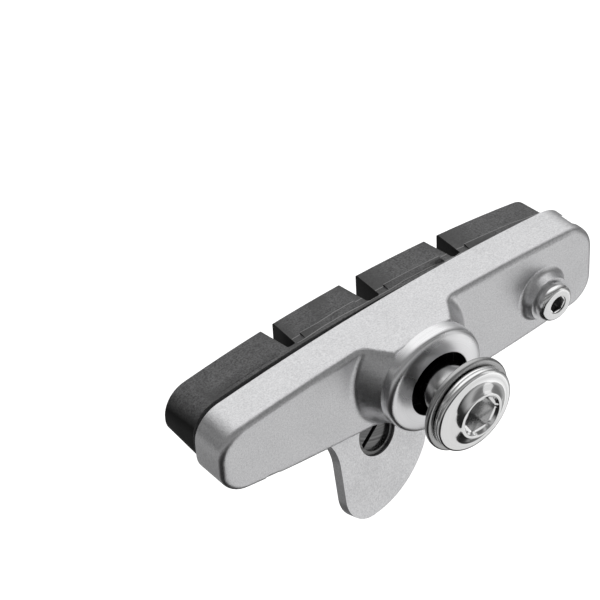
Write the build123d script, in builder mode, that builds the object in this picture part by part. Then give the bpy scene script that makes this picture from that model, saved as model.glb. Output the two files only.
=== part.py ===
from build123d import *
import os
from math import cos, radians, tan

# Bicycle rim brake shoe, in millimetres.
# X runs along the shoe: +X is the open end, where the rubber slides in.
# Y is the fixing bolt's axis: the bolt's head points to -Y, the rubber's brake face to +Y.
# +Z is up as mounted. The origin is on the bolt's axis, at the outer rim of the seat ring.

# Tray of the holder, seen along the bolt
holder_left = -27.0
holder_right = 29.4
tray_top_mid = (3.0, 5.8)
tray_top_left_z = 3.7
tray_top_right_z = 4.75
tray_bottom_mid_x = 1.0
tray_bottom_mid_z = -7.9
tray_bottom_left_z = -4.9
tray_bottom_right_z = -6.75
closed_end_radius = 3.9
open_top_radius = 4.4
open_bottom_radius = 3.6
back_y = 5.0
tray_depth = 5.05
shoulder_radius = 0.9
floor_thickness = 1.6
tray_wall = 0.65
pocket_bottom_mid_z = -5.95
lip_height = 1.3
lip_overhang = 0.35

# Rubber pad
pad_left = -26.9
pad_right = 28.6
pad_mid_x = -2.0
pad_top_mid_z = 5.6
pad_top_left_z = 3.8
pad_top_right_z = 2.8
pad_bottom_mid_z = -5.2
pad_bottom_left_z = -3.6
pad_bottom_right_z = -5.95
pad_closed_top_radius = 3.6
pad_closed_bottom_radius = 3.0
pad_open_radius = 2.8
pad_stand = 6.05
pad_draft = 0.53
pad_gap = 0.08
pad_groove = 0.4
pad_end_inset = 0.5
pad_face_chamfer = 0.25
slot_places = (-11.85, 0.2, 13.0)
slot_mouths = (1.9, 2.7, 2.2)
slot_draft = 5.0
slot_root_y = 11.1
slot_root_chamfer = 0.25
strip_height = 1.1
strip_offset = 0.56
strip_proud = 0.16
strip_margin = 0.9

# Seat boss and its threaded hole
boss_top_radius = 6.8
boss_foot_radius = 8.3
boss_foot_round = 1.0
boss_skirt = 1.5
boss_front_y = 1.77
thread_radius = 3.0
thread_clearance = 0.05

# Seat ring
ring_radius = 6.9
ring_rim_y = 0.0
ring_cone = 0.59
ring_bore = 4.15
ring_chamfer = 0.3

# Bolt and washers
bolt_neck_radius = 2.8
bolt_neck_taper = 0.5
bolt_end_y = 6.3
arm_space = 4.67
flat_washer_radius = 6.02
flat_washer_thickness = 0.8
washer_bore = 3.2
washer_chamfer = 0.15
domed_washer_radius = 5.35
domed_washer_thickness = 0.69
domed_washer_relief = 0.16
head_radius = 5.35
head_rim_thickness = 0.76
head_rim_chamfer = 0.2
head_dish = 0.12
collar_radius = 2.93
collar_height = 1.64
collar_cone = 0.55
collar_chamfer = 0.15
socket_across_flats = 4.0
socket_depth = 3.0
socket_countersink = 0.3

# Wheel guide fin: a slab that leans to the bolt's head below and to the closed end
fin_root = (-9.0, 5.6, -8.3)
fin_lean_down = 0.24
fin_lean_side = 0.12
fin_thickness = 1.4
fin_left_root = (-2.9, 2.2)
fin_left_flare = (-1.95, 0.3)
fin_left_waist = (-1.65, -2.0)
fin_left_edge = (-2.15, -7.0)
fin_tip_left = (-1.15, -9.9)
fin_tip_low = (1.9, -11.15)
fin_tip_right = (6.1, -10.6)
fin_right_edge = (11.4, -7.0)
fin_right_root = (14.6, -1.2)

# Slotted stop screw through the fin, square to it
stop_place = (4.75, -1.2)
stop_hole_radius = 2.95
stop_clearance = 0.1
stop_screw_inset = 0.35
stop_screw_length = 6.0
stop_rim_width = 0.4
stop_face_recess = 0.45
stop_slot_width = 0.6
stop_slot_depth = 0.7
stop_slot_angle = 30.0
stop_groove_radius = 2.1
stop_groove_width = 0.35
stop_groove_depth = 0.6

# Pad screw and its small boss
pad_screw_from_end = 8.5
pad_screw_z = -1.8
pad_boss_radius = 2.9
pad_boss_foot_radius = 3.4
pad_boss_foot_chamfer = 0.4
pad_boss_front_y = 3.5
pad_screw_head_radius = 2.45
pad_screw_head_height = 1.5
pad_screw_rim_height = 0.3
pad_screw_neck_height = 0.25
pad_screw_neck_inset = 0.3
pad_screw_crown_radius = 1.6
pad_screw_shoulder_radius = 2.1
pad_screw_shoulder_height = 1.08
pad_screw_thread_radius = 1.5
pad_screw_clearance = 0.05
pad_screw_socket = 2.0
pad_screw_socket_depth = 1.0
pad_screw_reach = 0.9
pad_screw_recess_margin = 0.3

os.makedirs("parts", exist_ok=True)

# Planes and levels that several pieces share
lip_y = back_y + tray_depth
floor_y = back_y + floor_thickness
pad_back_y = floor_y + pad_gap
block_y = lip_y + pad_groove
pad_face_y = lip_y + pad_stand
washer_front_y = -arm_space - flat_washer_thickness
head_back_y = washer_front_y - domed_washer_thickness
over_cut = 2.0
cut_half_height = pad_top_mid_z + over_cut
pad_screw_x = holder_right - pad_screw_from_end
fin_plane = Plane(
    origin=fin_root,
    x_dir=(1, fin_lean_side, 0),
    z_dir=(fin_lean_side, -1, fin_lean_down),
)
stop_plane = Plane(
    origin=fin_plane.from_local_coords((*stop_place, 0)),
    x_dir=fin_plane.x_dir,
    z_dir=fin_plane.z_dir,
)


def cross_section(y):
    """Plane square to the bolt at height y, with its local y axis up."""
    return Plane.XZ.offset(-y)


def round_corners(outline, corners):
    """Rounds each listed corner of a sketch by its own radius."""
    for corner, radius in corners:
        fillet(outline.vertices().sort_by_distance(corner)[0], radius)


def tray_outline(inset, open_ended, bottom_mid_z):
    """Face of the tray's outline, moved in by inset, running past the open end if asked."""
    right = holder_right + (over_cut if open_ended else -inset)
    top_left = (holder_left + inset, tray_top_left_z - inset)
    top_right = (right, tray_top_right_z - inset)
    bottom_left = (holder_left + inset, tray_bottom_left_z + inset)
    bottom_right = (right, tray_bottom_right_z + inset)
    closed_radius = closed_end_radius - inset
    with BuildSketch() as outline:
        with BuildLine():
            ThreePointArc(top_left, (tray_top_mid[0], tray_top_mid[1] - inset), top_right)
            Line(top_right, bottom_right)
            ThreePointArc(bottom_right, (tray_bottom_mid_x, bottom_mid_z), bottom_left)
            Line(bottom_left, top_left)
        make_face()
        round_corners(outline, [(top_left, closed_radius), (bottom_left, closed_radius)])
        if not open_ended:
            round_corners(outline, [(top_right, open_top_radius), (bottom_right, open_bottom_radius)])
    return outline.sketch


def pad_outline(narrow, trim):
    """Face of the arched pad, each long side moved in by narrow and the whole edge by trim."""
    inset = narrow + trim
    top_left = (pad_left + trim, pad_top_left_z - inset)
    top_right = (pad_right - trim, pad_top_right_z - inset)
    bottom_left = (pad_left + trim, pad_bottom_left_z + inset)
    bottom_right = (pad_right - trim, pad_bottom_right_z + inset)
    with BuildSketch() as outline:
        with BuildLine():
            ThreePointArc(top_left, (pad_mid_x, pad_top_mid_z - inset), top_right)
            Line(top_right, bottom_right)
            ThreePointArc(bottom_right, (pad_mid_x, pad_bottom_mid_z + inset), bottom_left)
            Line(bottom_left, top_left)
        make_face()
        round_corners(
            outline,
            [
                (top_left, pad_closed_top_radius - trim),
                (bottom_left, pad_closed_bottom_radius - trim),
                (top_right, pad_open_radius - trim),
                (bottom_right, pad_open_radius - trim),
            ],
        )
    return outline.sketch


def flared_boss(top_radius, foot_radius, front_y, blend, blend_size, skirt):
    """Round boss on the tray's back, drafted, its foot eased by blend: fillet or chamfer."""
    with BuildPart() as boss:
        with BuildSketch(Plane.XY) as profile:
            with BuildLine():
                Polyline(
                    (0, floor_y - shoulder_radius / 2),
                    (0, front_y),
                    (top_radius, front_y),
                    (foot_radius, back_y),
                    (foot_radius + skirt, back_y),
                    (foot_radius + skirt, floor_y - shoulder_radius / 2),
                    close=True,
                )
            make_face()
            blend(profile.vertices().sort_by_distance((foot_radius, back_y))[0], blend_size)
        revolve(axis=Axis.Y)
    return boss.part


def on_own_axis(edge):
    """True for a circle about the fixing bolt's axis."""
    if edge.geom_type != GeomType.CIRCLE:
        return False
    return abs(edge.arc_center.X) < shoulder_radius and abs(edge.arc_center.Z) < shoulder_radius


# Holder: one casting with tray, seat boss, fin and the small boss of the pad screw
with BuildPart() as seat_boss:
    add(flared_boss(boss_top_radius, boss_foot_radius, boss_front_y, fillet, boss_foot_round, boss_skirt))
    with BuildSketch(cross_section(lip_y)):
        add(tray_outline(0, False, tray_bottom_mid_z))
    extrude(amount=lip_y - boss_front_y + over_cut, mode=Mode.INTERSECT)

with BuildPart() as fin:
    with BuildSketch(fin_plane):
        with BuildLine():
            ThreePointArc(fin_left_root, fin_left_flare, fin_left_waist)
            Line(fin_left_waist, fin_left_edge)
            ThreePointArc(fin_left_edge, fin_tip_left, fin_tip_low)
            ThreePointArc(fin_tip_low, fin_tip_right, fin_right_edge)
            Polyline(
                fin_right_edge,
                fin_right_root,
                (fin_right_root[0], fin_left_root[1]),
                fin_left_root,
            )
        make_face()
    extrude(amount=-fin_thickness)

with BuildPart() as shoe_holder:
    with BuildSketch(cross_section(lip_y)):
        add(tray_outline(0, False, tray_bottom_mid_z))
    extrude(amount=tray_depth)
    add(seat_boss.part)
    outer_edges = shoe_holder.edges().filter_by(
        lambda edge: edge.bounding_box().max.Y < floor_y and not on_own_axis(edge)
    )
    fillet(outer_edges, shoulder_radius)
    add(fin.part)
    with Locations((pad_screw_x, 0, pad_screw_z)):
        add(
            flared_boss(
                pad_boss_radius,
                pad_boss_foot_radius,
                pad_boss_front_y,
                chamfer,
                pad_boss_foot_chamfer,
                pad_boss_foot_chamfer * 2,
            )
        )
    with BuildSketch(cross_section(lip_y - lip_height)):
        add(tray_outline(tray_wall, True, pocket_bottom_mid_z))
    extrude(amount=tray_depth - lip_height - floor_thickness, mode=Mode.SUBTRACT)
    with BuildSketch(cross_section(lip_y + over_cut)):
        add(tray_outline(tray_wall + lip_overhang, True, pocket_bottom_mid_z + lip_overhang))
    extrude(amount=over_cut + lip_height, mode=Mode.SUBTRACT)
    with BuildSketch(cross_section(boss_front_y - over_cut)):
        Circle(thread_radius)
    extrude(amount=-(floor_y - boss_front_y + 2 * over_cut), mode=Mode.SUBTRACT)
    with BuildSketch(cross_section(pad_boss_front_y - over_cut)):
        with Locations((pad_screw_x, pad_screw_z)):
            Circle(pad_screw_thread_radius)
    extrude(amount=-(floor_y - pad_boss_front_y + 2 * over_cut), mode=Mode.SUBTRACT)
    with BuildSketch(stop_plane):
        Circle(stop_hole_radius)
    extrude(amount=-(stop_screw_length + over_cut), mode=Mode.SUBTRACT)

shoe_holder.part.label = "shoe_holder"
export_step(shoe_holder.part, "parts/shoe_holder.step")

# Rubber pad: base in the tray, neck through the lip, arched block with slots and edge strips
with BuildPart() as brake_pad:
    base_inset = tray_wall + pad_gap
    with BuildSketch(cross_section(lip_y - lip_height - pad_gap)):
        add(tray_outline(base_inset, True, pocket_bottom_mid_z + pad_gap))
    extrude(amount=lip_y - lip_height - pad_gap - pad_back_y)
    with BuildSketch(cross_section(block_y)):
        add(tray_outline(base_inset + lip_overhang, True, pocket_bottom_mid_z + lip_overhang + pad_gap))
    extrude(amount=block_y - pad_back_y)
    with BuildSketch(cross_section(block_y)):
        add(tray_outline(pad_end_inset, False, pocket_bottom_mid_z - tray_wall))
    extrude(amount=block_y - pad_back_y, mode=Mode.INTERSECT)

    with BuildSketch(cross_section(block_y)):
        add(pad_outline(0, 0))
    with BuildSketch(cross_section(pad_face_y - pad_face_chamfer)):
        add(pad_outline(pad_draft, 0))
    with BuildSketch(cross_section(pad_face_y)):
        add(pad_outline(pad_draft, pad_face_chamfer))
    loft(ruled=True)

with BuildPart() as edge_strips:
    with BuildSketch(cross_section(block_y + strip_offset + strip_height)):
        add(pad_outline(-strip_proud, 0))
    extrude(amount=strip_height)
    block_ends = [pad_left + pad_closed_top_radius]
    for place, mouth in zip(slot_places, slot_mouths):
        block_ends += [place - mouth / 2 - strip_margin, place + mouth / 2 + strip_margin]
    block_ends += [pad_right - pad_closed_top_radius]
    with BuildSketch(Plane.XY.offset(-cut_half_height)) as kept_lengths:
        for start, stop in zip(block_ends[::2], block_ends[1::2]):
            with Locations(((start + stop) / 2, block_y + strip_offset + strip_height / 2)):
                Rectangle(stop - start, strip_height)
    extrude(amount=2 * cut_half_height, mode=Mode.INTERSECT)

with brake_pad:
    add(edge_strips.part)
    for place, mouth in zip(slot_places, slot_mouths):
        slot_lean = tan(radians(slot_draft))
        root_half = mouth / 2 - (pad_face_y - slot_root_y) * slot_lean
        with BuildSketch(Plane.XY.offset(-cut_half_height)) as slot:
            with BuildLine():
                Polyline(
                    (place - mouth / 2 - over_cut * slot_lean, pad_face_y + over_cut),
                    (place - root_half, slot_root_y),
                    (place + root_half, slot_root_y),
                    (place + mouth / 2 + over_cut * slot_lean, pad_face_y + over_cut),
                    close=True,
                )
            make_face()
            chamfer(slot.vertices().group_by(Axis.Y)[0], slot_root_chamfer)
        extrude(amount=2 * cut_half_height, mode=Mode.SUBTRACT)
    with BuildSketch(cross_section(pad_back_y - over_cut)):
        with Locations((pad_screw_x, pad_screw_z)):
            Circle(pad_screw_thread_radius + pad_screw_recess_margin)
    extrude(amount=-(over_cut + pad_screw_reach + pad_screw_recess_margin), mode=Mode.SUBTRACT)

brake_pad.part.label = "brake_pad"
export_step(brake_pad.part, "parts/brake_pad.step")

# Pad screw: button head with a hexagon socket
with BuildPart() as pad_fixing_screw:
    screw_end_y = pad_back_y + pad_screw_reach
    screw_radius = pad_screw_thread_radius - pad_screw_clearance
    neck_radius = pad_screw_head_radius - pad_screw_neck_inset
    rim_back_y = pad_boss_front_y - pad_screw_neck_height
    rim_front_y = rim_back_y - pad_screw_rim_height
    crown_y = pad_boss_front_y - pad_screw_head_height
    with BuildSketch(Plane.XY):
        with BuildLine():
            Polyline(
                (0, screw_end_y),
                (screw_radius, screw_end_y),
                (screw_radius, pad_boss_front_y),
                (neck_radius, pad_boss_front_y),
                (neck_radius, rim_back_y),
                (pad_screw_head_radius, rim_back_y),
                (pad_screw_head_radius, rim_front_y),
                (pad_screw_shoulder_radius, pad_boss_front_y - pad_screw_shoulder_height),
                (pad_screw_crown_radius, crown_y),
                (0, crown_y),
                close=True,
            )
        make_face()
    revolve(axis=Axis.Y)
    with BuildSketch(cross_section(crown_y - over_cut)):
        RegularPolygon(radius=pad_screw_socket / 2, side_count=6, major_radius=False)
    extrude(amount=-(over_cut + pad_screw_socket_depth), mode=Mode.SUBTRACT)
placed_pad_screw = pad_fixing_screw.part.moved(Location((pad_screw_x, 0, pad_screw_z)))
placed_pad_screw.label = "pad_fixing_screw"
export_step(placed_pad_screw, "parts/pad_fixing_screw.step")

# Stop screw: slotted face sunk in a thin rim, and a ring groove in its far end
with BuildPart() as stop_screw:
    stop_radius = stop_hole_radius - stop_clearance
    with BuildSketch(stop_plane.offset(-stop_screw_inset)):
        Circle(stop_radius)
    extrude(amount=-stop_screw_length)
    with BuildSketch(stop_plane.offset(-stop_screw_inset)):
        Circle(stop_radius - stop_rim_width)
    extrude(amount=-stop_face_recess, mode=Mode.SUBTRACT)
    with BuildSketch(stop_plane.offset(-stop_screw_inset - stop_face_recess)):
        Rectangle(2 * (stop_radius - stop_rim_width), stop_slot_width, rotation=stop_slot_angle)
    extrude(amount=-stop_slot_depth, mode=Mode.SUBTRACT)
    with BuildSketch(stop_plane.offset(-stop_screw_inset - stop_screw_length)):
        Circle(stop_groove_radius + stop_groove_width)
        Circle(stop_groove_radius, mode=Mode.SUBTRACT)
    extrude(amount=stop_groove_depth, mode=Mode.SUBTRACT)

stop_screw.part.label = "stop_screw"
export_step(stop_screw.part, "parts/stop_screw.step")

# Seat ring: flat on the boss, a shallow cone to the brake arm
with BuildPart() as seat_ring:
    with BuildSketch(Plane.XY) as ring_section:
        with BuildLine():
            Polyline(
                (ring_bore, ring_rim_y - ring_cone),
                (ring_bore, boss_front_y),
                (ring_radius, boss_front_y),
                (ring_radius, ring_rim_y),
                close=True,
            )
        make_face()
        chamfer(ring_section.vertices().group_by(Axis.X)[-1], ring_chamfer)
    revolve(axis=Axis.Y)

seat_ring.part.label = "seat_ring"
export_step(seat_ring.part, "parts/seat_ring.step")

# Flat washer on the bolt
with BuildPart() as flat_washer:
    with BuildSketch(cross_section(-arm_space)):
        Circle(flat_washer_radius)
        Circle(washer_bore, mode=Mode.SUBTRACT)
    extrude(amount=flat_washer_thickness)
    chamfer(flat_washer.faces().sort_by(Axis.Y)[0].outer_wire().edges(), washer_chamfer)

flat_washer.part.label = "flat_washer"
export_step(flat_washer.part, "parts/flat_washer.step")

# Domed washer right behind the head
with BuildPart() as domed_washer:
    with BuildSketch(Plane.XY):
        with BuildLine():
            Polyline(
                (washer_bore, washer_front_y),
                (domed_washer_radius, washer_front_y - domed_washer_relief),
                (domed_washer_radius, head_back_y),
                (washer_bore, head_back_y),
                close=True,
            )
        make_face()
    revolve(axis=Axis.Y)

domed_washer.part.label = "domed_washer"
export_step(domed_washer.part, "parts/domed_washer.step")

# Fixing bolt: flanged head with a round collar and a hexagon socket
with BuildPart() as fixing_bolt:
    rim_y = head_back_y - head_rim_thickness
    dish_y = rim_y + head_dish
    collar_y = head_back_y - collar_height
    thread_outer = thread_radius - thread_clearance
    socket_corner = socket_across_flats / 2 / cos(radians(30))
    with BuildSketch(Plane.XY):
        with BuildLine():
            Polyline(
                (0, bolt_end_y),
                (thread_outer, bolt_end_y),
                (thread_outer, ring_rim_y),
                (bolt_neck_radius, ring_rim_y - bolt_neck_taper),
                (bolt_neck_radius, head_back_y),
                (head_radius, head_back_y),
                (head_radius, rim_y + head_rim_chamfer),
                (head_radius - head_rim_chamfer, rim_y),
                (collar_radius + collar_cone, dish_y),
                (collar_radius, dish_y - collar_cone),
                (collar_radius, collar_y + collar_chamfer),
                (collar_radius - collar_chamfer, collar_y),
                (socket_corner + socket_countersink, collar_y),
                (socket_corner, collar_y + socket_countersink),
                (0, collar_y + socket_countersink),
                close=True,
            )
        make_face()
    revolve(axis=Axis.Y)
    with BuildSketch(cross_section(collar_y - over_cut)):
        RegularPolygon(radius=socket_across_flats / 2, side_count=6, major_radius=False)
    extrude(amount=-(over_cut + socket_countersink + socket_depth), mode=Mode.SUBTRACT)

fixing_bolt.part.label = "fixing_bolt"
export_step(fixing_bolt.part, "parts/fixing_bolt.step")
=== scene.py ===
import math

import bmesh
import bpy
from mathutils import Matrix, Vector


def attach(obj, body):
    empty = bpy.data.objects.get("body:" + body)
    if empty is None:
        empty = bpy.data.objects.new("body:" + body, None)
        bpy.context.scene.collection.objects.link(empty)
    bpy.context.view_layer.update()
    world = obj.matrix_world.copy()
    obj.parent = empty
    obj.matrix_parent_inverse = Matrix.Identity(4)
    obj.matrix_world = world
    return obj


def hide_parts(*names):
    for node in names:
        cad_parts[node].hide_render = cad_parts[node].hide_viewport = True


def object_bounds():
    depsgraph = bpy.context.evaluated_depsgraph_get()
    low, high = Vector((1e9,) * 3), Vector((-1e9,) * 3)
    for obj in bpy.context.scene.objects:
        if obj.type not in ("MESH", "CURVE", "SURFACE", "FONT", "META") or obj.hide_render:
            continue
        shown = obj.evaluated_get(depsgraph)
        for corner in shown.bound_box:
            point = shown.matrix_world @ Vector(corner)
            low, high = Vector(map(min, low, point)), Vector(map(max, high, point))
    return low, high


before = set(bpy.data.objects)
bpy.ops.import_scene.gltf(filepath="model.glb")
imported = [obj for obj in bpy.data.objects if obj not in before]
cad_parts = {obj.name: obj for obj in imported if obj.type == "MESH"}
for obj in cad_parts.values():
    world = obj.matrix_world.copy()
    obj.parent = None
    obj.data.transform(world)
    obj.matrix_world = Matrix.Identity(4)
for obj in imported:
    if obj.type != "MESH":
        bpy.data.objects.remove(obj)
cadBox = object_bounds()
scene = bpy.context.scene
mm = 0.001
print("frame loaded:", sorted(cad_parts))

# Camera: a long lens from the bolt side, above and towards the closed end
cameraValues = {
    "place": (-141.3, -164.7, 197.9),
    "right": (0.77731, -0.62743, -0.04594),
    "up": (0.43500, 0.48329, 0.75974),
    "toward": (-0.45448, -0.61054, 0.64860),
    "lens": 154.2,
    "sensor": 36.0,
    "nearest": 0.01,
    "farthest": 10,
}


def makeCamera(values):
    data = bpy.data.cameras.new("photoCamera")
    data.lens = values["lens"]
    data.sensor_width = values["sensor"]
    data.clip_start = values["nearest"]
    data.clip_end = values["farthest"]
    camera = bpy.data.objects.new("photoCamera", data)
    turn = Matrix((values["right"], values["up"], values["toward"])).transposed().to_4x4()
    camera.matrix_world = Matrix.Translation(Vector(values["place"]) * mm) @ turn
    scene.collection.objects.link(camera)
    scene.camera = camera


makeCamera(cameraValues)
print("camera set")


# Node helpers: a value is a number, a colour or another node's socket
def feed(links, socket, value):
    if isinstance(value, (int, float, tuple)):
        socket.default_value = value
    else:
        links.new(value, socket)


def addMath(nodes, links, operation, *values, clamp=False):
    node = nodes.new("ShaderNodeMath")
    node.operation = operation
    node.use_clamp = clamp
    for socket, value in zip(node.inputs, values):
        feed(links, socket, value)
    return node.outputs[0]


def addSpread(nodes, links, value, fromRange, toRange=(0.0, 1.0)):
    spread = nodes.new("ShaderNodeMapRange")
    feed(links, spread.inputs["Value"], value)
    feed(links, spread.inputs["From Min"], fromRange[0])
    feed(links, spread.inputs["From Max"], fromRange[1])
    feed(links, spread.inputs["To Min"], toRange[0])
    feed(links, spread.inputs["To Max"], toRange[1])
    return spread.outputs["Result"]


def addNoise(nodes, links, socketName, place, scale, detail):
    noise = nodes.new("ShaderNodeTexNoise")
    noise.noise_dimensions = "1D" if socketName == "W" else "3D"
    feed(links, noise.inputs[socketName], place)
    feed(links, noise.inputs["Scale"], scale)
    noise.inputs["Detail"].default_value = detail
    return noise.outputs["Fac"]


def addColourMix(nodes, links, factor, first, second):
    mix = nodes.new("ShaderNodeMix")
    mix.data_type = "RGBA"
    feed(links, mix.inputs["Factor"], factor)
    feed(links, mix.inputs["A"], first)
    feed(links, mix.inputs["B"], second)
    return mix.outputs["Result"]


def addShaderMix(nodes, links, factor, first, second):
    mix = nodes.new("ShaderNodeMixShader")
    for socket, output in zip(mix.inputs, (factor, first, second)):
        links.new(output, socket)
    return mix.outputs[0]


# Studio: a pale floor and a room that is bright above and to the open end, dim to the closed end.
# Metals reflect the room and the lamps. The floor is clear to reflections.
studioValues = {
    "floorDrop": 160,
    "floorSize": 1400,
    "floorColour": (0.86, 0.86, 0.86, 1),
    "floorRoughness": 0.9,
    "floorSpecular": 0.0,
    "floorGlow": 0.8,
    "roomDirection": (0.35, 0.55, 0.76),
    "roomStops": (
        (0.0, 0.01), (0.10, 0.015), (0.20, 0.03), (0.34, 0.36), (0.41, 0.42), (0.49, 0.16),
        (0.58, 0.16), (0.63, 0.46), (0.67, 0.12), (0.70, 0.12), (0.76, 0.20), (0.81, 0.36),
        (0.86, 0.64), (0.91, 0.82), (0.96, 0.78), (1.0, 0.74),
    ),
    "roomStrength": 1.0,
    "white": (1, 1, 1, 1),
}
lampValues = {
    "keyLamp": {"place": (120, 160, 330), "size": (460, 460), "power": 0.16},
    "sideLamp": {"place": (300, -220, 60), "size": (160, 220), "power": 0.06},
    "lowLamp": {"place": (40, -160, -143), "size": (380, 250), "power": 0.205},
}


def makeLamp(name, values):
    data = bpy.data.lights.new(name, "AREA")
    data.shape = "RECTANGLE"
    data.size, data.size_y = values["size"][0] * mm, values["size"][1] * mm
    data.energy = values["power"]
    lamp = bpy.data.objects.new(name, data)
    lamp.location = Vector(values["place"]) * mm
    lamp.rotation_euler = (-lamp.location).to_track_quat("-Z", "Y").to_euler()  # at the origin
    scene.collection.objects.link(lamp)


def fillRamp(ramp, stops):
    while len(ramp.elements) < len(stops):
        ramp.elements.new(0.5)
    for element, (position, level) in zip(ramp.elements, stops):
        element.position = position
        element.color = (level, level, level, 1)


def makeRoom(values):
    world = bpy.data.worlds.new("studioRoom")
    scene.world = world
    world.use_nodes = True
    nodes, links = world.node_tree.nodes, world.node_tree.links
    nodes.clear()
    lean = nodes.new("ShaderNodeVectorMath")
    lean.operation = "DOT_PRODUCT"
    links.new(nodes.new("ShaderNodeTexCoord").outputs["Generated"], lean.inputs[0])
    lean.inputs[1].default_value = Vector(values["roomDirection"]).normalized()
    ramp = nodes.new("ShaderNodeValToRGB")
    fillRamp(ramp.color_ramp, values["roomStops"])
    # the lean from -1 to 1 becomes a place on the ramp from 0 to 1
    place = addMath(nodes, links, "MULTIPLY_ADD", lean.outputs["Value"], 0.5, 0.5)
    links.new(place, ramp.inputs["Fac"])
    room = nodes.new("ShaderNodeBackground")
    room.inputs["Strength"].default_value = values["roomStrength"]
    links.new(ramp.outputs["Color"], room.inputs["Color"])
    backdrop = nodes.new("ShaderNodeBackground")
    backdrop.inputs["Color"].default_value = values["white"]
    seen = nodes.new("ShaderNodeLightPath").outputs["Is Camera Ray"]
    shown = addShaderMix(nodes, links, seen, room.outputs[0], backdrop.outputs[0])
    links.new(shown, nodes.new("ShaderNodeOutputWorld").inputs["Surface"])


def makeFloor(values):
    bpy.ops.mesh.primitive_plane_add(size=values["floorSize"] * mm)
    floor = bpy.context.object
    floor.name = "studioFloor"
    floor.location = (0, 0, cadBox[0].z - values["floorDrop"] * mm)
    material = bpy.data.materials.new("paleFloor")
    material.use_nodes = True
    nodes, links = material.node_tree.nodes, material.node_tree.links
    shader = nodes["Principled BSDF"]
    shader.inputs["Base Color"].default_value = values["floorColour"]
    shader.inputs["Roughness"].default_value = values["floorRoughness"]
    shader.inputs["Specular IOR Level"].default_value = values["floorSpecular"]
    path = nodes.new("ShaderNodeLightPath")
    glow = nodes.new("ShaderNodeEmission")
    glow.inputs["Color"].default_value = values["white"]
    seen = addMath(nodes, links, "MULTIPLY", path.outputs["Is Camera Ray"], values["floorGlow"])
    links.new(seen, glow.inputs["Strength"])
    both = nodes.new("ShaderNodeAddShader")
    links.new(shader.outputs[0], both.inputs[0])
    links.new(glow.outputs[0], both.inputs[1])
    clear = nodes.new("ShaderNodeBsdfTransparent")
    mirrored = path.outputs["Is Glossy Ray"]
    shown = addShaderMix(nodes, links, mirrored, both.outputs[0], clear.outputs[0])
    links.new(shown, nodes["Material Output"].inputs["Surface"])
    floor.data.materials.append(material)


makeRoom(studioValues)
makeFloor(studioValues)
for lampName, lampFacts in lampValues.items():
    makeLamp(lampName, lampFacts)
print("studio set")

# Shader groups that several finishes share, and the noise scales that no finish changes
noiseValues = {"blotchScale": 220.0, "breakScale": 1800.0, "breakFloor": 0.5, "reach": (0.3, 0.7)}


def startGroup(name, inputs, outputs):
    group = bpy.data.node_groups.new(name, "ShaderNodeTree")
    for socketName, value in inputs.items():
        socket = group.interface.new_socket(
            name=socketName, in_out="INPUT", socket_type="NodeSocketFloat"
        )
        socket.default_value = value
    for socketName in outputs:
        group.interface.new_socket(
            name=socketName, in_out="OUTPUT", socket_type="NodeSocketFloat"
        )
    given = group.nodes.new("NodeGroupInput").outputs
    result = group.nodes.new("NodeGroupOutput").inputs
    return group, group.nodes, group.links, given, result


def addSplit(nodes, links, coordinate):
    split = nodes.new("ShaderNodeSeparateXYZ")
    links.new(nodes.new("ShaderNodeTexCoord").outputs[coordinate], split.inputs[0])
    return split.outputs


def addAxisDistance(nodes, links, place, given):
    across = addMath(nodes, links, "SUBTRACT", place["X"], given["Centre X"])
    along = addMath(nodes, links, "SUBTRACT", place["Z"], given["Centre Z"])
    alongSquare = addMath(nodes, links, "MULTIPLY", along, along)
    square = addMath(nodes, links, "MULTIPLY_ADD", across, across, alongSquare)
    return addMath(nodes, links, "SQRT", square)


def makeBlastGrain():
    group, nodes, links, given, result = startGroup(
        "blastGrain",
        {"Fine Scale": 9000.0, "Coarse Scale": 1500.0, "Coarse Share": 0.35},
        ["Height", "Blotch"],
    )
    place = nodes.new("ShaderNodeTexCoord").outputs["Object"]
    fine = addNoise(nodes, links, "Vector", place, given["Fine Scale"], 2)
    coarse = addNoise(nodes, links, "Vector", place, given["Coarse Scale"], 3)
    fineShare = addMath(nodes, links, "SUBTRACT", 1.0, given["Coarse Share"])
    finePart = addMath(nodes, links, "MULTIPLY", fine, fineShare)
    height = addMath(nodes, links, "MULTIPLY_ADD", coarse, given["Coarse Share"], finePart)
    links.new(height, result["Height"])
    blotch = addNoise(nodes, links, "Vector", place, noiseValues["blotchScale"], 2)
    links.new(blotch, result["Blotch"])
    return group


def makeTurnedLines():
    group, nodes, links, given, result = startGroup(
        "turnedLines", {"Line Scale": 9000.0, "Centre X": 0.0, "Centre Z": 0.0}, ["Height"]
    )
    place = addSplit(nodes, links, "Object")
    distance = addAxisDistance(nodes, links, place, given)
    travel = addMath(nodes, links, "ADD", distance, place["Y"])
    links.new(addNoise(nodes, links, "W", travel, given["Line Scale"], 2), result["Height"])
    return group


def makeEdgeWear():
    group, nodes, links, given, result = startGroup(
        "edgeWear", {"Start": 0.52, "End": 0.60, "Broken": 0.5}, ["Mask"]
    )
    edge = nodes.new("ShaderNodeNewGeometry").outputs["Pointiness"]
    worn = addSpread(nodes, links, edge, (given["Start"], given["End"]))
    place = nodes.new("ShaderNodeTexCoord").outputs["Object"]
    breaks = addNoise(nodes, links, "Vector", place, noiseValues["breakScale"], 3)
    keep = addMath(
        nodes, links, "MULTIPLY_ADD", breaks, given["Broken"], noiseValues["breakFloor"], clamp=True
    )
    links.new(addMath(nodes, links, "MULTIPLY", worn, keep, clamp=True), result["Mask"])
    return group


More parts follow.
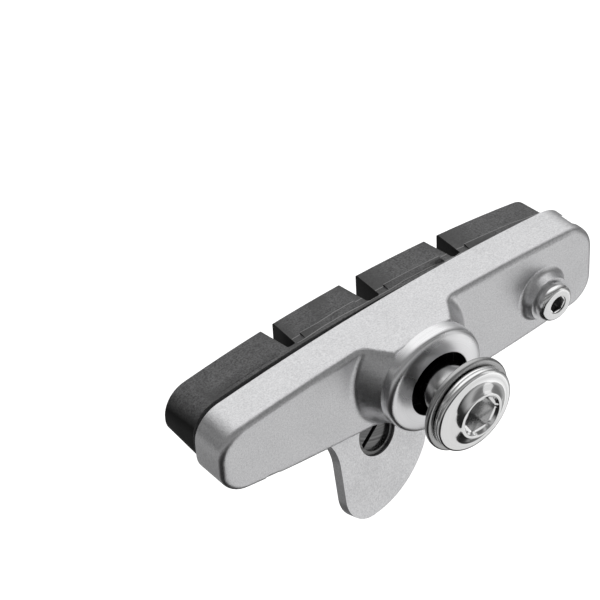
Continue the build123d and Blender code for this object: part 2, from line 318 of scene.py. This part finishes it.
# Dark inside a bore or a socket, which no light reaches
def makeBoreShade():
    group, nodes, links, given, result = startGroup(
        "boreShade",
        {"Radius": 0.0042, "From Y": -1.0, "Soft Edge": 0.0001, "Centre X": 0.0, "Centre Z": 0.0},
        ["Mask"],
    )
    place = addSplit(nodes, links, "Object")
    distance = addAxisDistance(nodes, links, place, given)
    inward = addMath(nodes, links, "SUBTRACT", given["Radius"], distance)
    inside = addMath(nodes, links, "DIVIDE", inward, given["Soft Edge"], clamp=True)
    behind = addMath(nodes, links, "GREATER_THAN", place["Y"], given["From Y"])
    links.new(addMath(nodes, links, "MULTIPLY", inside, behind), result["Mask"])
    return group


# Painted light and shade: a mask of faces that look up or towards the tray, which the rubber paints
# lit, the other faces painted dark as shade
def makePaintedLitFace():
    group, nodes, links, given, result = startGroup(
        "paintedLitFace", {"Start": 0.3, "End": 0.8}, ["Mask"]
    )
    normal = addSplit(nodes, links, "Normal")
    towardTray = addMath(nodes, links, "MULTIPLY", normal["Y"], -1.0)
    facing = addMath(nodes, links, "MAXIMUM", normal["Z"], towardTray)
    links.new(addSpread(nodes, links, facing, (given["Start"], given["End"])), result["Mask"])
    return group


# Painted highlights: two thin light lines at two given Y places on the rubber, from a given X
# onwards, where the flattened strips' edges catch the light
def makeStripHighlightLines():
    group, nodes, links, given, result = startGroup(
        "stripHighlightLines",
        {"First Y": 0.0, "Second Y": 0.0, "Half Width": 0.00005, "From X": -1.0},
        ["Mask"],
    )
    place = addSplit(nodes, links, "Object")
    first, second = (
        addMath(nodes, links, "COMPARE", place["Y"], given[paintedHighlightLine], given["Half Width"])
        for paintedHighlightLine in ("First Y", "Second Y")
    )
    either = addMath(nodes, links, "MAXIMUM", first, second)
    inReach = addMath(nodes, links, "GREATER_THAN", place["X"], given["From X"])
    links.new(addMath(nodes, links, "MULTIPLY", either, inReach), result["Mask"])
    return group


blastGrain = makeBlastGrain()
turnedLines = makeTurnedLines()
edgeWear = makeEdgeWear()
boreShade = makeBoreShade()
paintedLitFace = makePaintedLitFace()
stripHighlightLines = makeStripHighlightLines()
print("shader groups made")


# Finishes
def startFinish(name, values):
    material = bpy.data.materials.new(name)
    material.use_nodes = True
    nodes, links = material.node_tree.nodes, material.node_tree.links
    shader = nodes["Principled BSDF"]
    shader.inputs["Metallic"].default_value = values["metallic"]
    return material, nodes, links, shader


def addGroup(nodes, group, values):
    node = nodes.new("ShaderNodeGroup")
    node.node_tree = group
    for name, value in values.items():
        node.inputs[name].default_value = value
    return node.outputs


def addTone(nodes, links, height, low, high):
    share = addSpread(nodes, links, height, noiseValues["reach"])
    return addColourMix(nodes, links, share, low, high)


def addShade(nodes, links, colour, values):
    if "shade" not in values:
        return colour
    mask = addGroup(nodes, boreShade, values["shade"])["Mask"]
    return addColourMix(nodes, links, mask, colour, values["shadeColour"])


def setSurface(nodes, links, shader, colour, blotch, height, values):
    links.new(colour, shader.inputs["Base Color"])
    roughness = addSpread(nodes, links, blotch, noiseValues["reach"], values["roughness"])
    links.new(roughness, shader.inputs["Roughness"])
    bump = nodes.new("ShaderNodeBump")
    bump.inputs["Strength"].default_value = values["bumpStrength"]
    bump.inputs["Distance"].default_value = values["bumpDepth"] * mm
    links.new(height, bump.inputs["Height"])
    links.new(bump.outputs["Normal"], shader.inputs["Normal"])


castValues = {
    "metallic": 1.0,
    "dull": (0.60, 0.60, 0.61, 1),
    "bright": (0.84, 0.84, 0.85, 1),
    "roughness": (0.33, 0.41),
    "grain": {"Fine Scale": 5200.0, "Coarse Scale": 2200.0, "Coarse Share": 0.25},
    "bumpStrength": 0.6,
    "bumpDepth": 0.04,
    "shade": {"Radius": 0.0042},
    "shadeColour": (0.02, 0.02, 0.02, 1),
}


def makeCastFinish(name, values):
    material, nodes, links, shader = startFinish(name, values)
    grain = addGroup(nodes, blastGrain, values["grain"])
    tone = addTone(nodes, links, grain["Height"], values["dull"], values["bright"])
    colour = addShade(nodes, links, tone, values)
    setSurface(nodes, links, shader, colour, grain["Blotch"], grain["Height"], values)
    return material


turnedValues = {
    "ringSatin": {
        "metallic": 1.0,
        "dull": (0.88, 0.88, 0.89, 1),
        "bright": (0.94, 0.94, 0.95, 1),
        "roughness": (0.24, 0.34),
        "lines": {"Line Scale": 7000.0},
        "bumpStrength": 0.03,
        "bumpDepth": 0.01,
        "shade": {"Radius": 0.00425},
        "shadeColour": (0.02, 0.02, 0.02, 1),
    },
    "washerSatin": {
        "metallic": 1.0,
        "dull": (0.42, 0.42, 0.42, 1),
        "bright": (0.54, 0.54, 0.54, 1),
        "roughness": (0.20, 0.30),
        "lines": {"Line Scale": 7000.0},
        "bumpStrength": 0.05,
        "bumpDepth": 0.01,
    },
    "boltChrome": {
        "metallic": 1.0,
        "dull": (0.92, 0.92, 0.92, 1),
        "bright": (0.97, 0.97, 0.97, 1),
        "roughness": (0.10, 0.15),
        "lines": {"Line Scale": 5000.0},
        "bumpStrength": 0.015,
        "bumpDepth": 0.01,
        "shade": {"Radius": 0.0033, "From Y": -0.0047},
        "shadeColour": (0.56, 0.56, 0.56, 1),
    },
    "screwChrome": {
        "metallic": 1.0,
        "dull": (0.90, 0.90, 0.90, 1),
        "bright": (0.96, 0.96, 0.96, 1),
        "roughness": (0.14, 0.20),
        "lines": {"Line Scale": 5000.0, "Centre X": 0.0209, "Centre Z": -0.0018},
        "bumpStrength": 0.02,
        "bumpDepth": 0.01,
        "shade": {"Radius": 0.00118, "From Y": 0.0024, "Centre X": 0.0209, "Centre Z": -0.0018},
        "shadeColour": (0.25, 0.25, 0.25, 1),
    },
    "darkSteel": {
        "metallic": 1.0,
        "dull": (0.10, 0.10, 0.10, 1),
        "bright": (0.20, 0.20, 0.20, 1),
        "roughness": (0.24, 0.36),
        "lines": {"Line Scale": 5000.0},
        "bumpStrength": 0.08,
        "bumpDepth": 0.01,
    },
}


def makeTurnedFinish(name, values):
    material, nodes, links, shader = startFinish(name, values)
    lines = addGroup(nodes, turnedLines, values["lines"])["Height"]
    blotch = addGroup(nodes, blastGrain, {})["Blotch"]
    tone = addTone(nodes, links, lines, values["dull"], values["bright"])
    colour = addShade(nodes, links, tone, values)
    setSurface(nodes, links, shader, colour, blotch, lines, values)
    return material


rubberValues = {
    "metallic": 0.0,
    "base": (0.085, 0.085, 0.086, 1),
    "speck": (0.250, 0.250, 0.252, 1),
    # painted shade: the colour of rubber faces that look neither up nor towards the tray
    "side": (0.010, 0.010, 0.010, 1),
    "worn": (0.12, 0.12, 0.12, 1),
    # painted highlight: the colour of the thin lines along the flattened strips' edges
    "paintedHighlightLine": (0.40, 0.40, 0.40, 1),
    "specular": 0.12,
    "roughness": (0.42, 0.55),
    "grain": {"Fine Scale": 4600.0, "Coarse Scale": 1300.0, "Coarse Share": 0.2},
    "wear": {"Start": 0.53, "End": 0.62, "Broken": 0.6},
    "paintedLitShare": {"Start": 0.35, "End": 0.85},
    "lines": {"First Y": 0.01106, "Second Y": 0.01208, "From X": -0.0112},
    "bumpStrength": 0.45,
    "bumpDepth": 0.03,
}


def makeRubberFinish(name, values):
    material, nodes, links, shader = startFinish(name, values)
    shader.inputs["Specular IOR Level"].default_value = values["specular"]
    grain = addGroup(nodes, blastGrain, values["grain"])
    wear = addGroup(nodes, edgeWear, values["wear"])["Mask"]
    lines = addGroup(nodes, stripHighlightLines, values["lines"])["Mask"]
    paintedLitShare = addGroup(nodes, paintedLitFace, values["paintedLitShare"])["Mask"]
    tone = addTone(nodes, links, grain["Height"], values["base"], values["speck"])
    rubbed = addColourMix(nodes, links, wear, tone, values["worn"])
    withHighlightLines = addColourMix(nodes, links, lines, rubbed, values["paintedHighlightLine"])
    # Painted light and shade: rubber that faces up or towards the tray keeps its lit colour, other
    # faces get the painted shade colour
    colour = addColourMix(nodes, links, paintedLitShare, values["side"], withHighlightLines)
    setSurface(nodes, links, shader, colour, grain["Blotch"], grain["Height"], values)
    return material


finishes = {
    "castAluminium": makeCastFinish("castAluminium", castValues),
    "padRubber": makeRubberFinish("padRubber", rubberValues),
}
for finishName, finishFacts in turnedValues.items():
    finishes[finishName] = makeTurnedFinish(finishName, finishFacts)
print("finishes made")

# Pieces: angles in degrees, lengths in millimetres
shapeValues = {
    "sharpAngle": 32,
    "easeAngle": 38,
    "faceWeight": 80,
    "cornerSteps": 6,
    "sameSpot": 0.0001,
    "weld": 0.002,
}


def finishPiece(mesh, name, values):
    data = bpy.data.meshes.new(name)
    bmesh.ops.recalc_face_normals(mesh, faces=mesh.faces)
    mesh.to_mesh(data)
    mesh.free()
    data.shade_smooth()
    data.set_sharp_from_angle(angle=math.radians(shapeValues["sharpAngle"]))
    data.materials.append(finishes[values["finish"]])
    piece = bpy.data.objects.new(name, data)
    scene.collection.objects.link(piece)
    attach(piece, "root")
    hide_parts(values["node"])
    return piece


def addWeightedNormals(piece):
    weight = piece.modifiers.new("evenShade", "WEIGHTED_NORMAL")
    weight.keep_sharp = True
    weight.weight = shapeValues["faceWeight"]


def easeCorner(before, here, after, ease):
    start = here + (before - here).normalized() * min(ease, (before - here).length / 2)
    stop = here + (after - here).normalized() * min(ease, (after - here).length / 2)
    parts = [step / shapeValues["cornerSteps"] for step in range(shapeValues["cornerSteps"] + 1)]
    return [start.lerp(here, part).lerp(here.lerp(stop, part), part) for part in parts]


def easeProfile(profile):
    points = [Vector(point[:2]) for point in profile]
    outline = []
    for index, (here, (_, _, ease)) in enumerate(zip(points, profile)):
        spots = easeCorner(points[index - 1], here, points[index + 1], ease) if ease else [here]
        if outline and (spots[0] - outline[-1]).length < shapeValues["sameSpot"]:
            spots = spots[1:]  # eased corners that meet share a spot
        outline += spots
    return outline


def hexRadius(angle, apothem):
    third = math.pi / 3
    return apothem / math.cos(angle % third - third / 2)


def turnRing(mesh, radius, y, centre, segments, apothem=0):
    ring = []
    for index in range(segments):
        angle = 2 * math.pi * index / segments
        reach = hexRadius(angle, apothem) if apothem else radius
        place = (centre[0] + reach * math.cos(angle), y, centre[1] + reach * math.sin(angle))
        ring.append(mesh.verts.new(Vector(place) * mm))
    return ring


def joinRings(mesh, first, second):
    count = len(first)
    for index in range(count):
        after = (index + 1) % count
        mesh.faces.new((first[index], first[after], second[after], second[index]))


def turnPiece(name, values):
    mesh = bmesh.new()
    centre, segments = values.get("centre", (0, 0)), values["segments"]
    rings = [turnRing(mesh, *spot, centre, segments) for spot in easeProfile(values["profile"])]
    if "socket" in values:
        apothem, mouthY, floorY = values["socket"]
        for y in (mouthY, floorY):
            rings.append(turnRing(mesh, 0, y, centre, segments, apothem))
        mesh.faces.new(rings[0])
        mesh.faces.new(rings[-1])
    else:
        rings.append(rings[0])
    for first, second in zip(rings, rings[1:]):
        joinRings(mesh, first, second)
    addWeightedNormals(finishPiece(mesh, name, values))


# Each point of a profile is a radius, a place along the bolt and how much the corner is eased.
# A socket is half its width across flats, and the places of its mouth and its floor.
ringValues = {
    "node": "seat_ring",
    "slot": "cast_aluminium",
    "finish": "ringSatin",
    "segments": 160,
    "profile": [
        (4.15, 1.77, 0), (6.9, 1.77, 0.12), (6.9, 0.02, 0.8), (5.6, -0.38, 0.7),
        (4.15, -0.59, 0.16), (4.15, 0.2, 0),
    ],
}
turnPiece("seatRingTurned", ringValues)

flatWasherValues = {
    "node": "flat_washer",
    "slot": "washer_steel",
    "finish": "washerSatin",
    "segments": 144,
    "profile": [(3.2, -4.67, 0), (6.02, -4.67, 0.3), (6.02, -5.47, 0.38), (3.2, -5.47, 0)],
}
turnPiece("flatWasherTurned", flatWasherValues)

domedWasherValues = {
    "node": "domed_washer",
    "slot": "bolt_steel",
    "finish": "boltChrome",
    "segments": 144,
    "profile": [(3.2, -5.47, 0), (5.35, -5.63, 0.2), (5.35, -6.16, 0.16), (3.2, -6.16, 0)],
}
turnPiece("domedWasherTurned", domedWasherValues)

boltValues = {
    "node": "fixing_bolt",
    "slot": "bolt_steel",
    "finish": "boltChrome",
    "segments": 144,
    "profile": [
        (2.95, 6.3, 0), (2.95, -0.3, 0.1), (3.1, -0.7, 0.1), (3.1, -6.16, 0),
        (5.35, -6.16, 0.12), (5.35, -6.62, 0.28), (4.9, -6.84, 0.36), (4.1, -6.88, 0.5),
        (3.4, -7.36, 0.4), (2.95, -7.8, 0.12), (2.64, -7.8, 0.08), (2.34, -7.42, 0),
    ],
    "socket": (2.0, -7.36, -4.5),
}
turnPiece("fixingBoltTurned", boltValues)

padScrewValues = {
    "node": "pad_fixing_screw",
    "slot": "screw_steel",
    "finish": "screwChrome",
    "segments": 96,
    "centre": (20.9, -1.8),
    "profile": [
        (1.45, 7.58, 0), (1.45, 3.5, 0), (2.15, 3.5, 0), (2.15, 3.25, 0), (2.45, 3.25, 0.08),
        (2.45, 2.55, 0.3), (2.2, 2.1, 0.26), (1.9, 2.0, 0.2), (1.2, 2.0, 0.06), (1.18, 2.16, 0),
    ],
    "socket": (1.0, 2.2, 3.0),
}
turnPiece("padScrewTurned", padScrewValues)
print("turned pieces made")


# The model's raised strips show only as thin lines in the photo, so they go back almost flush
def flattenStrips(mesh, values):
    def inBand(vert):
        return values["fromY"] < vert.co.y / mm < values["toY"]

    moves = {}
    for face in mesh.faces:
        if all(map(inBand, face.verts)) and abs(face.normal.z) > values["facing"]:
            moves.update({vert: face.normal * values["proud"] * mm for vert in face.verts})
    for vert, move in moves.items():
        vert.co -= move
    near = list(filter(inBand, mesh.verts))
    bmesh.ops.remove_doubles(mesh, verts=near, dist=values["weld"] * mm)
    print("strip corners put flush:", len(moves))


# The casting, the rubber and the stop screw keep the model's form, with their sharp edges eased
def easePiece(name, values):
    mesh = bmesh.new()
    mesh.from_mesh(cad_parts[values["node"]].data)
    bmesh.ops.remove_doubles(mesh, verts=mesh.verts, dist=shapeValues["weld"] * mm)
    if "strips" in values:
        mesh.normal_update()
        flattenStrips(mesh, values["strips"])
    flatAngle = math.radians(values["flatAngle"])
    bmesh.ops.dissolve_limit(mesh, angle_limit=flatAngle, verts=mesh.verts, edges=mesh.edges)
    piece = finishPiece(mesh, name, values)
    ease = piece.modifiers.new("easedEdges", "BEVEL")
    ease.limit_method = "ANGLE"
    ease.angle_limit = math.radians(shapeValues["easeAngle"])
    ease.width = values["ease"] * mm
    ease.segments = values["steps"]
    ease.use_clamp_overlap = True
    if values["evenShade"]:
        addWeightedNormals(piece)


holderValues = {
    "node": "shoe_holder",
    "slot": "cast_aluminium",
    "finish": "castAluminium",
    "ease": 0.14,
    "steps": 3,
    "flatAngle": 0.6,
    "evenShade": True,
}
easePiece("holderCasting", holderValues)

padValues = {
    "node": "brake_pad",
    "slot": "pad_rubber",
    "finish": "padRubber",
    "ease": 0.12,
    "steps": 2,
    "flatAngle": 0.05,
    "strips": {"fromY": 10.98, "toY": 12.14, "facing": 0.7, "proud": 0.16, "weld": 0.25},
    "evenShade": False,
}
easePiece("padMoulding", padValues)

stopScrewValues = {
    "node": "stop_screw",
    "slot": "dark_steel",
    "finish": "darkSteel",
    "ease": 0.06,
    "steps": 2,
    "flatAngle": 0.6,
    "evenShade": True,
}
easePiece("stopScrewBody", stopScrewValues)
print("eased pieces made")

scene.view_settings.view_transform = "Standard"
